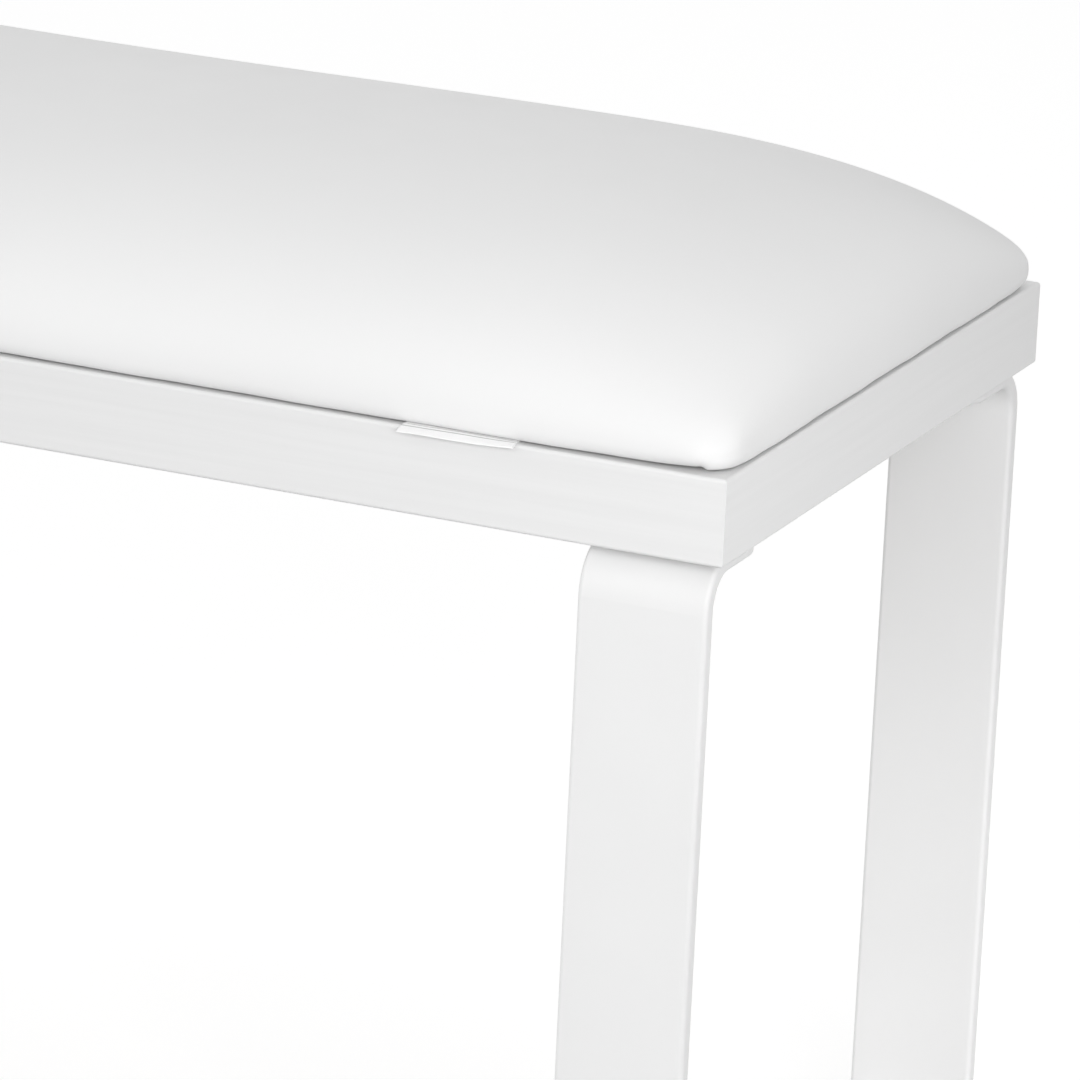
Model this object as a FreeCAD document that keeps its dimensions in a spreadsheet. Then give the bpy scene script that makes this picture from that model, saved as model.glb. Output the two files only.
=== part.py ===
"""Piano bench: an upholstered seat pad on a slim mitred frame, carried by two bent flat-bar legs.

Frame of the model: millimetres, +X along the bench, +Y to the rear, +Z up. The origin is on the floor
under the middle of the seat. Every driving dimension is a cell of the sheet "Dims".
"""
import FreeCAD, Part
import os
import Sketcher

DIMENSIONS = {
    # overall
    "bench_length": 760.0, "bench_depth": 360.0, "frame_bottom": 379.5,
    # wooden frame
    "rail_height": 37.6, "rail_thickness": 18.0, "rail_edge": 1.6,
    "block_length": 56.0, "block_width": 50.0, "block_height": 30.0, "block_chamfer": 16.0,
    "batten_width": 44.0, "batten_height": 22.0, "batten_offset": 150.0,
    "corner_dowel_radius": 3.0, "corner_dowel_length": 15.6, "corner_dowel_low": 11.0,
    "corner_dowel_high": 25.0, "batten_dowel_radius": 4.0, "batten_dowel_length": 29.0,
    "batten_dowel_shift": 3.0,
    # bent flat bar
    "bar_width": 58.0, "bar_thickness": 8.0, "bar_edge": 2.2, "bend_radius": 22.0,
    "bar_end_inset": 6.0, "bar_face_inset": 1.0, "flange_length": 58.0, "flange_corner": 13.0,
    # seat pad
    "pad_inset": 1.0, "pad_corner": 18.0, "pad_crown": 75.9, "cover_thickness": 1.2,
    "wadding_thickness": 5.0, "board_thickness": 12.0, "board_gap": 3.8, "board_corner": 10.0,
    "hem_width": 30.0, "hem_corner": 5.0, "vent_radius": 8.0,
    "dust_thickness": 0.5, "dust_overlap": 6.0, "dust_corner": 8.0, "passage_radius": 5.0,
    # fasteners
    "bolt_radius": 2.9, "bolt_hole": 3.4, "thread_play": 0.1, "washer_play": 0.3,
    "head_small_radius": 3.4, "head_radius": 5.25, "head_height": 3.3, "socket_depth": 2.1,
    "hex_radius": 2.3, "flange_bolt_length": 28.0, "seat_bolt_length": 34.0,
    "flange_bolt_spread": 12.0, "flange_bolt_inset": 41.0, "seat_bolt_spread": 90.0,
    "bolt_hole_beyond": 8.0, "washer_thickness": 1.6, "flange_washer_radius": 6.0,
    "seat_washer_radius": 8.0, "insert_radius": 4.5, "insert_length": 15.0,
    "tee_flange": 9.5, "tee_recess": 1.5, "tee_barrel": 4.0, "tee_barrel_length": 9.0,
    # levelling glides
    "glide_height": 5.0, "glide_radius": 12.5, "stem_radius": 4.0, "stem_clearance": 0.08,
    "glide_inset": 45.0, "glide_gap": 0.3, "glide_edge": 1.2, "glide_socket_floor": 1.5,
    "stem_length": 11.0, "stem_key_depth": 3.5,
    # small trim
    "tag_width": 50.0, "tag_length": 18.0, "tag_from_end": 92.0,
    "staple_wire": 0.5, "staple_crown": 10.0, "hem_staple_leg": 9.0, "dust_staple_leg": 8.0,
    "hem_staple_inset": 20.5, "dust_staple_inset": 27.0, "hem_staple_pitch": 32.0,
    "dust_staple_pitch": 64.0, "staple_run_x": 640.0, "staple_run_y": 240.0, "staple_clearance": 30.0,
}

doc = FreeCAD.newDocument("PianoBench")
sheet = doc.addObject("Spreadsheet::Sheet", "Dims")
for row, (alias, value) in enumerate(DIMENSIONS.items(), start=1):
    sheet.set(f"A{row}", alias)
    sheet.set(f"B{row}", str(value))
    sheet.setAlias(f"B{row}", alias)
doc.recompute()

subparts = []


def keep(obj, name):
    """Give a finished sub-part the label that names its file."""
    obj.Label = name
    subparts.append(obj)
    return obj


def dims(expression):
    """Write every bare alias of an expression as a cell of the sheet."""
    words = expression
    for sign in "+-*/()":
        words = words.replace(sign, f" {sign} ")
    return " ".join(f"Dims.{word}" if word in DIMENSIONS else word for word in words.split())


def bind(obj, prop, expression):
    obj.setExpression(prop, dims(expression))


# ---------------------------------------------------------------- sketches and features

def origin_plane(body, role):
    return next(item for item in body.Origin.OriginFeatures if item.Role == role)


def new_body(name):
    return doc.addObject("PartDesign::Body", name)


def new_sketch(body, name, role, offset="0"):
    """A sketch on one of the body's own origin planes, moved along the plane's normal by offset."""
    sketch = body.newObject("Sketcher::SketchObject", name)
    sketch.AttachmentSupport = [(origin_plane(body, role), "")]
    sketch.MapMode = "FlatFace"
    bind(sketch, ".AttachmentOffset.Base.z", offset)
    return sketch


def place_point(sketch, geometry, point, x, y):
    """Fix one point of a sketch at expressions x, y from the sketch's origin."""
    for kind, expression in (("DistanceX", x), ("DistanceY", y)):
        index = sketch.addConstraint(Sketcher.Constraint(kind, -1, 1, geometry, point, 1.0))
        bind(sketch, f"Constraints[{index}]", expression)


def add_outline(sketch, corners):
    """A closed outline of straight lines through the given corners, in order."""
    start = sketch.GeometryCount
    count = len(corners)
    ring = [FreeCAD.Vector(10 * i + 1, 7 * i * i + 3, 0) for i in range(count)]
    for i in range(count):
        sketch.addGeometry(Part.LineSegment(ring[i], ring[(i + 1) % count]), False)
    for i in range(count):
        following = start + (i + 1) % count
        sketch.addConstraint(Sketcher.Constraint("Coincident", start + i, 2, following, 1))
    for i, (x, y) in enumerate(corners):
        place_point(sketch, start + i, 1, x, y)


def add_circle(sketch, x, y, radius):
    index = sketch.addGeometry(Part.Circle(FreeCAD.Vector(1, 1, 0), FreeCAD.Vector(0, 0, 1), 3.0), False)
    place_point(sketch, index, 3, x, y)
    constraint = sketch.addConstraint(Sketcher.Constraint("Radius", index, 3.0))
    bind(sketch, f"Constraints[{constraint}]", radius)


def pad(body, sketch, length, midplane=False):
    feature = body.newObject("PartDesign::Pad", sketch.Name + "_pad")
    feature.Profile = sketch
    feature.Midplane = midplane
    bind(feature, "Length", length)
    doc.recompute()
    return feature


def pocket(body, sketch, depth):
    """Cut the sketch out of the body, half of the depth to each side of the sketch's plane."""
    before = body.Shape.Volume
    feature = body.newObject("PartDesign::Pocket", sketch.Name + "_pocket")
    feature.Profile = sketch
    feature.Midplane = True
    bind(feature, "Length", depth)
    doc.recompute()
    if body.Shape.Volume >= before - 1e-3:
        raise RuntimeError(f"{feature.Name} cuts nothing")
    return feature


def edges_where(shape, test):
    return [f"Edge{i}" for i, edge in enumerate(shape.Edges, start=1) if test(edge)]


def fillet(body, test, radius):
    """Round every edge of the body that passes the test."""
    base = body.Tip
    feature = body.newObject("PartDesign::Fillet", f"{body.Name}_round_{len(body.Group)}")
    feature.Base = (base, edges_where(base.Shape, test))
    bind(feature, "Radius", radius)
    doc.recompute()
    return feature


def runs_along(edge, axis):
    """True for a straight edge that lies along axis, 0 for X, 1 for Y or 2 for Z."""
    if edge.Curve.TypeId != "Part::GeomLine":
        return False
    direction = edge.Vertexes[-1].Point - edge.Vertexes[0].Point
    direction.normalize()
    return abs(abs(direction[axis]) - 1.0) < 1e-6


def middle(edge):
    return edge.valueAt((edge.FirstParameter + edge.LastParameter) / 2)


# ---------------------------------------------------------------- groups of like pieces

def cylinder(name, radius, height, bottom="0"):
    obj = doc.addObject("Part::Cylinder", name)
    bind(obj, "Radius", radius)
    bind(obj, "Height", height)
    bind(obj, ".Placement.Base.z", bottom)
    return obj


def cut(name, base, tool):
    obj = doc.addObject("Part::Cut", name)
    obj.Base, obj.Tool = base, tool
    return obj


def fuse(name, *shapes):
    obj = doc.addObject("Part::MultiFuse", name)
    obj.Shapes = list(shapes)
    return obj


def group(name, master, places):
    """Copies of one master piece at (x, y, z, rotation), each place a set of expressions."""
    links = []
    for i, (x, y, z, rotation) in enumerate(places, start=1):
        link = doc.addObject("App::Link", f"{name}_{i}")
        link.LinkedObject = master
        link.LinkTransform = True
        link.Placement = FreeCAD.Placement(FreeCAD.Vector(), rotation)
        for axis, expression in zip("xyz", (x, y, z)):
            bind(link, f".Placement.Base.{axis}", expression)
        links.append(link)
    compound = doc.addObject("Part::Compound", name)
    compound.Links = links
    return compound


UPRIGHT = FreeCAD.Rotation()
SIDES = (-1, 1)
END_NAMES = {-1: "left", 1: "right"}
FACE_NAMES = {-1: "front", 1: "rear"}
frame_top = "(frame_bottom + rail_height)"
board_bottom = f"({frame_top} + dust_thickness + cover_thickness)"
board_top = f"({board_bottom} + board_thickness)"
bar_centre = "(bench_length/2 - bar_end_inset - bar_width/2)"
flange_bolt_y = "(bench_depth/2 - flange_bolt_inset)"
glide_y = "(bench_depth/2 - glide_inset)"


# ---------------------------------------------------------------- dowels, hidden in the frame's joints

dowel = cylinder("corner_dowel_blank", "corner_dowel_radius", "corner_dowel_length",
                 "-corner_dowel_length/2")
places = []
for side_x in SIDES:
    for side_y in SIDES:
        across = FreeCAD.Rotation(FreeCAD.Vector(0, 0, 1), FreeCAD.Vector(side_x, -side_y, 0))
        for level in ("frame_bottom + corner_dowel_low", "frame_bottom + corner_dowel_high"):
            places.append((f"{side_x}*(bench_length - rail_thickness)/2",
                           f"{side_y}*(bench_depth - rail_thickness)/2", level, across))
corner_dowels = keep(group("corner_dowels", dowel, places), "corner_dowels")

dowel = cylinder("batten_dowel_blank", "batten_dowel_radius", "batten_dowel_length",
                 "-batten_dowel_length/2")
along_y = FreeCAD.Rotation(FreeCAD.Vector(0, 0, 1), FreeCAD.Vector(0, 1, 0))
places = [(f"{side_x}*batten_offset + {shift}*batten_width/4",
           f"{side_y}*(bench_depth/2 - rail_thickness - batten_dowel_shift)",
           f"{frame_top} - batten_height/2", along_y)
          for side_x in SIDES for side_y in SIDES for shift in SIDES]
batten_dowels = keep(group("batten_dowels", dowel, places), "batten_dowels")
doc.recompute()


# ---------------------------------------------------------------- mitred frame

def rail(name, along, across, side, axis):
    """A rail with mitred ends: outer face on the bench's side, inner face one thickness inside."""
    outer, inner = f"{side}*{across}/2", f"{side}*({across}/2 - rail_thickness)"
    long_half, short_half = f"{along}/2", f"({along}/2 - rail_thickness)"
    corners = [(f"-{long_half}", outer), (long_half, outer),
               (short_half, inner), (f"-{short_half}", inner)]
    if axis == 1:
        corners = [(y, x) for x, y in corners]
    body = new_body(name + "_blank")
    sketch = new_sketch(body, name + "_plan", "XY_Plane", "frame_bottom")
    add_outline(sketch, corners)
    pad(body, sketch, "rail_height")
    face = DIMENSIONS["bench_depth" if axis == 0 else "bench_length"] / 2 * side
    fillet(body, lambda edge: runs_along(edge, axis) and abs(middle(edge)[1 - axis] - face) < 0.01,
           "rail_edge")
    return body


def joined_rail(name, body, *dowels):
    drilled = cut(name, body, fuse(name + "_dowel_holes", *dowels))
    return keep(drilled, name)


for side in SIDES:
    name = FACE_NAMES[side] + "_rail"
    joined_rail(name, rail(name, "bench_length", "bench_depth", side, 0), corner_dowels, batten_dowels)
for side in SIDES:
    name = END_NAMES[side] + "_end_rail"
    joined_rail(name, rail(name, "bench_depth", "bench_length", side, 1), corner_dowels)


# ---------------------------------------------------------------- corner blocks

def corner_block(side_x, side_y):
    """A glued block in the corner, chamfered inside, drilled for two inserts and their bolts."""
    name = f"{FACE_NAMES[side_y]}_{END_NAMES[side_x]}_corner_block"
    outer_x = "(bench_length/2 - rail_thickness)"
    outer_y = "(bench_depth/2 - rail_thickness)"
    inner_x, inner_y = f"({outer_x} - block_length)", f"({outer_y} - block_width)"
    corners = [(outer_x, outer_y), (inner_x, outer_y), (inner_x, f"({inner_y} + block_chamfer)"),
               (f"({inner_x} + block_chamfer)", inner_y), (outer_x, inner_y)]
    body = new_body(name)
    sketch = new_sketch(body, name + "_plan", "XY_Plane", "frame_bottom")
    add_outline(sketch, [(f"{side_x}*{x}", f"{side_y}*{y}") for x, y in corners])
    pad(body, sketch, "block_height")
    for label, radius, depth in (("insert", "insert_radius", "insert_length"),
                                 ("bolt", "bolt_hole", "insert_length + bolt_hole_beyond")):
        holes = new_sketch(body, f"{name}_{label}_holes", "XY_Plane", "frame_bottom")
        for shift in SIDES:
            add_circle(holes, f"{side_x}*{bar_centre} + {shift}*flange_bolt_spread",
                       f"{side_y}*{flange_bolt_y}", radius)
        pocket(body, holes, f"2*({depth})")
    return body


for side_x in SIDES:
    for side_y in SIDES:
        block = corner_block(side_x, side_y)
        keep(block, block.Name)


# ---------------------------------------------------------------- cross battens

def cross_batten(side_x):
    """A batten from front rail to rear rail, flush with their tops, drilled for dowels and seat bolts."""
    name = END_NAMES[side_x] + "_cross_batten"
    body = new_body(name + "_blank")
    centre = f"{side_x}*batten_offset"
    reach = "(bench_depth/2 - rail_thickness)"
    corners = [(f"{centre} + {x}*batten_width/2", f"{y}*{reach}")
               for x, y in ((-1, -1), (1, -1), (1, 1), (-1, 1))]
    sketch = new_sketch(body, name + "_plan", "XY_Plane", f"{frame_top} - batten_height")
    add_outline(sketch, corners)
    pad(body, sketch, "batten_height")
    holes = new_sketch(body, name + "_holes", "XY_Plane", frame_top)
    for side_y in SIDES:
        add_circle(holes, centre, f"{side_y}*seat_bolt_spread", "bolt_hole")
    pocket(body, holes, "3*batten_height")
    return keep(cut(name, body, batten_dowels), name)


for side in SIDES:
    cross_batten(side)


# ---------------------------------------------------------------- bent flat-bar legs

def leg_frame(side_x):
    """One flat bar bent to a U: flange, front leg, floor runner, rear leg, flange."""
    name = END_NAMES[side_x] + "_leg_frame"
    body = new_body(name)
    outer_y = "(bench_depth/2 - bar_face_inset)"
    inner_y = "(bench_depth/2 - bar_face_inset - bar_thickness)"
    tip_y = "(bench_depth/2 - bar_face_inset - flange_length)"
    low, high = "glide_height", "frame_bottom"
    half = [(tip_y, high), (outer_y, high), (outer_y, low)]
    inside = [(inner_y, f"({low} + bar_thickness)"), (inner_y, f"({high} - bar_thickness)"),
              (tip_y, f"({high} - bar_thickness)")]
    corners = half + [(f"-{y}", z) for y, z in reversed(half)]
    corners += [(f"-{y}", z) for y, z in reversed(inside)] + inside
    sketch = new_sketch(body, name + "_side", "YZ_Plane", f"{side_x}*{bar_centre}")
    add_outline(sketch, corners)
    pad(body, sketch, "bar_width", midplane=True)

    face_y = DIMENSIONS["bench_depth"] / 2 - DIMENSIONS["bar_face_inset"]
    bottom, top = DIMENSIONS["glide_height"], DIMENSIONS["frame_bottom"]
    thickness = DIMENSIONS["bar_thickness"]

    def bend(depth):
        def test(edge):
            at = middle(edge)
            return (runs_along(edge, 0) and abs(abs(at.y) - (face_y - depth)) < 0.01
                    and min(abs(at.z - bottom - depth), abs(at.z - top + depth)) < 0.01)
        return test

    fillet(body, bend(0.0), "bend_radius")
    fillet(body, bend(thickness), "bend_radius - bar_thickness")
    tip = face_y - DIMENSIONS["flange_length"]
    fillet(body, lambda edge: runs_along(edge, 2) and abs(abs(middle(edge).y) - tip) < 0.01,
           "flange_corner")
    sides = [side_x * (DIMENSIONS["bench_length"] / 2 - DIMENSIONS["bar_end_inset"]),
             side_x * (DIMENSIONS["bench_length"] / 2 - DIMENSIONS["bar_end_inset"]
                       - DIMENSIONS["bar_width"])]
    fillet(body, lambda edge: all(min(abs(edge.valueAt(at).x - side) for side in sides) < 0.01
                                  for at in (edge.FirstParameter, edge.LastParameter,
                                             (edge.FirstParameter + edge.LastParameter) / 2))
           and not runs_along(edge, 0), "bar_edge")

    bolt_holes = new_sketch(body, name + "_bolt_holes", "XY_Plane", f"{high} - bar_thickness/2")
    for side_y in SIDES:
        for shift in SIDES:
            add_circle(bolt_holes, f"{side_x}*{bar_centre} + {shift}*flange_bolt_spread",
                       f"{side_y}*{flange_bolt_y}", "bolt_hole")
    pocket(body, bolt_holes, "3*bar_thickness")
    stem_holes = new_sketch(body, name + "_stem_holes", "XY_Plane", f"{low} + bar_thickness/2")
    for side_y in SIDES:
        add_circle(stem_holes, f"{side_x}*{bar_centre}", f"{side_y}*{glide_y}",
                   "stem_radius + stem_clearance")
    pocket(body, stem_holes, "3*bar_thickness")
    return keep(body, name)


for side in SIDES:
    leg_frame(side)


# ---------------------------------------------------------------- levelling glides

for side_x in SIDES:
    for side_y in SIDES:
        name = f"{FACE_NAMES[side_y]}_{END_NAMES[side_x]}_glide"
        x, y = f"{side_x}*{bar_centre}", f"{side_y}*{glide_y}"
        foot = cylinder(name + "_disc", "glide_radius", "glide_height - glide_gap")
        socket = cylinder(name + "_socket", "stem_radius", "glide_height", "glide_socket_floor")
        stem = cylinder(name + "_screw", "stem_radius", "stem_length", "glide_socket_floor")
        key = doc.addObject("Part::Prism", name + "_key")
        key.Polygon = 6
        bind(key, "Circumradius", "hex_radius")
        bind(key, "Height", "2*stem_key_depth")
        bind(key, ".Placement.Base.z", "glide_height + bar_thickness - stem_key_depth")
        for piece in (foot, socket, stem, key):
            bind(piece, ".Placement.Base.x", x)
            bind(piece, ".Placement.Base.y", y)
        doc.recompute()
        hollow = cut(name + "_hollow", foot, socket)
        doc.recompute()
        rounded = doc.addObject("Part::Fillet", name + "_rounded")
        rounded.Base = hollow
        outer, edge_radius = DIMENSIONS["glide_radius"], DIMENSIONS["glide_edge"]
        rims = [i for i, edge in enumerate(hollow.Shape.Edges, start=1)
                if edge.Curve.TypeId == "Part::GeomCircle" and abs(edge.Curve.Radius - outer) < 0.01]
        rounded.Edges = [(i, edge_radius, edge_radius) for i in rims]
        keep(rounded, name + "_pad")
        keep(cut(name + "_keyed", stem, key), name + "_stem")


# ---------------------------------------------------------------- seat pad

def add_rounded_plan(sketch, half_x, half_y, radius):
    """A rectangle with round corners, centred on the origin: four lines and four tangent arcs."""
    lines, arcs = [], []
    quarter = 1.5707963
    for i, (sx, sy) in enumerate(((-1, -1), (1, -1), (1, 1), (-1, 1))):
        corner = FreeCAD.Vector(sx * 100, sy * 60, 0)
        centre = corner - FreeCAD.Vector(sx * 20, sy * 20, 0)
        first = (2 + i) * quarter
        circle = Part.Circle(centre, FreeCAD.Vector(0, 0, 1), 20)
        arcs.append(sketch.addGeometry(Part.ArcOfCircle(circle, first, first + quarter), False))
    for i in range(4):
        start = sketch.Geometry[arcs[i]].EndPoint
        end = sketch.Geometry[arcs[(i + 1) % 4]].StartPoint
        lines.append(sketch.addGeometry(Part.LineSegment(start, end), False))
    for i in range(4):
        sketch.addConstraint(Sketcher.Constraint("Tangent", arcs[i], 2, lines[i], 1))
        sketch.addConstraint(Sketcher.Constraint("Tangent", lines[i], 2, arcs[(i + 1) % 4], 1))
        sketch.addConstraint(Sketcher.Constraint("Horizontal" if i % 2 == 0 else "Vertical", lines[i]))
    for i in (1, 2, 3):
        sketch.addConstraint(Sketcher.Constraint("Equal", arcs[0], arcs[i]))
    index = sketch.addConstraint(Sketcher.Constraint("Radius", arcs[0], 20))
    bind(sketch, f"Constraints[{index}]", radius)
    for kind, line, expression in (("DistanceY", 0, f"-({half_y})"), ("DistanceX", 1, half_x),
                                   ("DistanceY", 2, half_y), ("DistanceX", 3, f"-({half_x})")):
        index = sketch.addConstraint(Sketcher.Constraint(kind, -1, 1, lines[line], 1, 1.0))
        bind(sketch, f"Constraints[{index}]", expression)


PAD_HALF_X = "(bench_length/2 - pad_inset)"
PAD_HALF_Y = "(bench_depth/2 - pad_inset)"
# Height over the frame as a share of the crown, inset along X, inset along Y and corner radius: the
# pad is drawn in at its foot, swells, then rolls over into a crown that is longer than it is wide.
CROWN_STEPS = ((0.0, 3.5, 3.5, 16.0), (0.104, 0.0, 0.0, 18.0), (0.283, 1.0, 3.3, 22.0),
               (0.462, 5.6, 13.0, 32.0), (0.642, 18.0, 31.0, 48.0), (0.821, 45.0, 63.0, 62.0),
               (0.928, 79.0, 98.0, 60.0), (1.0, 120.0, 130.0, 40.0))


def crowned_solid(body, name, kind, skin, bottom):
    """A ruled loft through the crown's steps, shrunk by skin on the sides and on top."""
    sections = []
    for i, (share, inset_x, inset_y, corner) in enumerate(CROWN_STEPS):
        level = f"{frame_top} + {share}*(pad_crown - {skin})"
        if i == 0:
            level = bottom
        sketch = new_sketch(body, f"{name}_{i}", "XY_Plane", level)
        add_rounded_plan(sketch, f"{PAD_HALF_X} - {inset_x} - {skin}", f"{PAD_HALF_Y} - {inset_y} - {skin}",
                         f"{corner} - {skin}")
        sections.append(sketch)
    doc.recompute()
    feature = body.newObject(kind, name)
    feature.Profile = sections[0]
    feature.Sections = sections[1:]
    feature.Ruled = True
    doc.recompute()
    return feature


def pad_plate(body, name, bottom, thickness, skin, corner):
    """A flat plate of the pad's plan, shrunk by skin on every side."""
    sketch = new_sketch(body, name, "XY_Plane", bottom)
    add_rounded_plan(sketch, f"{PAD_HALF_X} - ({skin})", f"{PAD_HALF_Y} - ({skin})", corner)
    doc.recompute()
    return pad(body, sketch, thickness)


def seat_bolt_circles(sketch, radius):
    for side_x in SIDES:
        for side_y in SIDES:
            add_circle(sketch, f"{side_x}*batten_offset", f"{side_y}*seat_bolt_spread", radius)


board_skin = "(cover_thickness + wadding_thickness)"
board = new_body("seat_board")
pad_plate(board, "board_plan", board_bottom, "board_thickness", f"{board_skin} + board_gap", "board_corner")
for label, radius, level, depth in (("barrel", "tee_barrel", board_bottom, "3*board_thickness"),
                                    ("recess", "tee_flange", board_top, "2*tee_recess")):
    drilled = new_sketch(board, f"board_{label}_holes", "XY_Plane", level)
    seat_bolt_circles(drilled, radius)
    pocket(board, drilled, depth)
vents = new_sketch(board, "board_vents", "XY_Plane", board_bottom)
for side_x in SIDES:
    add_circle(vents, f"{side_x}*bench_length/3", "0", "vent_radius")
    add_circle(vents, f"{side_x}*bench_length/12", "0", "vent_radius")
pocket(board, vents, "3*board_thickness")
keep(board, "seat_board")

foam_blank = new_body("foam_blank")
crowned_solid(foam_blank, "foam_loft", "PartDesign::AdditiveLoft", board_skin, board_bottom)
wadding_blank = new_body("wadding_blank")
crowned_solid(wadding_blank, "wadding_loft", "PartDesign::AdditiveLoft", "cover_thickness", board_bottom)
cover_blank = new_body("cover_blank")
crowned_solid(cover_blank, "cover_loft", "PartDesign::AdditiveLoft", "0",
              f"{board_bottom} - cover_thickness")

below_board = doc.addObject("Part::Box", "below_board_top")
for prop, expression in (("Length", "bench_length"), ("Width", "bench_depth"), ("Height", board_top),
                         (".Placement.Base.x", "-bench_length/2"), (".Placement.Base.y", "-bench_depth/2")):
    bind(below_board, prop, expression)
keep(cut("foam", foam_blank, below_board), "seat_foam")
keep(cut("wadding", wadding_blank, foam_blank), "seat_wadding")

hem_opening = new_body("hem_opening")
pad_plate(hem_opening, "hem_opening_plan", frame_top, "dust_thickness + cover_thickness",
          "hem_width", "hem_corner")
keep(cut("cover", cut("cover_shell", cover_blank, wadding_blank), hem_opening), "seat_cover")

dust_cover = new_body("dust_cover")
pad_plate(dust_cover, "dust_plan", frame_top, "dust_thickness", "hem_width - dust_overlap", "dust_corner")
passages = new_sketch(dust_cover, "dust_passages", "XY_Plane", frame_top)
seat_bolt_circles(passages, "passage_radius")
pocket(dust_cover, passages, "4*dust_thickness")
keep(dust_cover, "dust_cover")


# ---------------------------------------------------------------- label tag, folded tape in the front seam

tag = doc.addObject("Part::Box", "tag_tape")
for prop, expression in (("Length", "tag_width"), ("Width", "tag_length"), ("Height", "dust_thickness"),
                         (".Placement.Base.x", "bench_length/2 - tag_from_end - tag_width"),
                         (".Placement.Base.y", "-bench_depth/2"), (".Placement.Base.z", frame_top)):
    bind(tag, prop, expression)
keep(tag, "label_tag")


# ---------------------------------------------------------------- staples

def staple(name, leg):
    """A wire staple, crown along X below the origin, legs pointing up."""
    pieces = []
    for label, x, z, length, height in (
            ("crown", "-staple_crown/2", "-staple_wire", "staple_crown", "staple_wire"),
            ("leg_a", "-staple_crown/2", "0", "staple_wire", leg),
            ("leg_b", "staple_crown/2 - staple_wire", "0", "staple_wire", leg)):
        box = doc.addObject("Part::Box", f"{name}_{label}")
        for prop, expression in (("Length", length), ("Width", "staple_wire"), ("Height", height),
                                 (".Placement.Base.x", x), (".Placement.Base.y", "-staple_wire/2"),
                                 (".Placement.Base.z", z)):
            bind(box, prop, expression)
        pieces.append(box)
    return fuse(name, *pieces)


def staple_row(edge_inset, level, pitch, clear_of_battens):
    """Places along the four sides of the pad, edge_inset in from its outline."""
    quarter_turn = FreeCAD.Rotation(FreeCAD.Vector(0, 0, 1), 90)
    spots = []
    run_x, run_y, gap = (DIMENSIONS[key] for key in ("staple_run_x", "staple_run_y", pitch))
    long_count, short_count = round(run_x / gap), round(run_y / gap)
    for i in range(long_count + 1):
        x = run_x * (i / long_count - 0.5)
        if clear_of_battens and abs(abs(x) - DIMENSIONS["batten_offset"]) < DIMENSIONS["staple_clearance"]:
            continue
        spots += [(str(x), f"{side}*({PAD_HALF_Y} - {edge_inset})", level, UPRIGHT) for side in SIDES]
    for i in range(short_count + 1):
        y = run_y * (i / short_count - 0.5)
        spots += [(f"{side}*({PAD_HALF_X} - {edge_inset})", str(y), level, quarter_turn) for side in SIDES]
    return spots


hem_staple = staple("hem_staple_blank", "hem_staple_leg")
hem_places = staple_row("hem_staple_inset", f"{frame_top} + dust_thickness", "hem_staple_pitch", False)
keep(group("hem_staples", hem_staple, hem_places), "hem_staples")
dust_staple = staple("dust_staple_blank", "dust_staple_leg")
dust_places = staple_row("dust_staple_inset", frame_top, "dust_staple_pitch", True)
keep(group("dust_staples", dust_staple, dust_places), "dust_cover_staples")


# ---------------------------------------------------------------- bolts, washers, inserts and tee nuts

def button_bolt(name, length):
    """A button-head bolt pointing up from the origin, its head below, with a hexagon socket."""
    head = doc.addObject("Part::Cone", name + "_head")
    key = doc.addObject("Part::Prism", name + "_socket")
    key.Polygon = 6
    for piece, prop, expression in (
            (head, "Radius1", "head_small_radius"), (head, "Radius2", "head_radius"),
            (head, "Height", "head_height"), (key, "Circumradius", "hex_radius"),
            (key, "Height", "socket_depth")):
        bind(piece, prop, expression)
    for piece in (head, key):
        bind(piece, ".Placement.Base.z", "-head_height")
    return cut(name, fuse(name + "_solid", head, cylinder(name + "_shank", "bolt_radius", length)), key)


def ring(name, outer, inner, height):
    return cut(name, cylinder(name + "_outer", outer, height), cylinder(name + "_inner", inner, height))


flange_places = [(f"{side_x}*{bar_centre} + {shift}*flange_bolt_spread", f"{side_y}*{flange_bolt_y}")
                 for side_x in SIDES for side_y in SIDES for shift in SIDES]
seat_places = [(f"{side_x}*batten_offset", f"{side_y}*seat_bolt_spread")
               for side_x in SIDES for side_y in SIDES]
flange_under = "frame_bottom - bar_thickness - washer_thickness"
batten_under = f"{frame_top} - batten_height - washer_thickness"
tee_nut_bottom = f"{board_top} - tee_recess - tee_barrel_length"


def stand(places, level):
    return [(x, y, level, UPRIGHT) for x, y in places]


flange_bolt = button_bolt("flange_bolt_blank", "flange_bolt_length")
keep(group("flange_bolts", flange_bolt, stand(flange_places, flange_under)), "flange_bolts")
flange_washer = ring("flange_washer_blank", "flange_washer_radius", "bolt_radius + washer_play",
                     "washer_thickness")
keep(group("flange_washers", flange_washer, stand(flange_places, flange_under)), "flange_washers")
insert = ring("insert_blank", "insert_radius", "bolt_radius + thread_play", "insert_length")
keep(group("threaded_inserts", insert, stand(flange_places, "frame_bottom")), "threaded_inserts")
seat_bolt = button_bolt("seat_bolt_blank", "seat_bolt_length")
keep(group("seat_bolts", seat_bolt, stand(seat_places, batten_under)), "seat_bolts")
seat_washer = ring("seat_washer_blank", "seat_washer_radius", "bolt_radius + washer_play",
                   "washer_thickness")
keep(group("seat_washers", seat_washer, stand(seat_places, batten_under)), "seat_washers")
tee_solid = fuse("tee_nut_solid", cylinder("tee_nut_barrel", "tee_barrel", "tee_barrel_length"),
                 cylinder("tee_nut_flange", "tee_flange", "tee_recess", "tee_barrel_length"))
tee_bore = cylinder("tee_nut_bore", "bolt_radius + thread_play", "tee_barrel_length + 2*tee_recess")
tee_nut = cut("tee_nut_blank", tee_solid, tee_bore)
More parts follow.
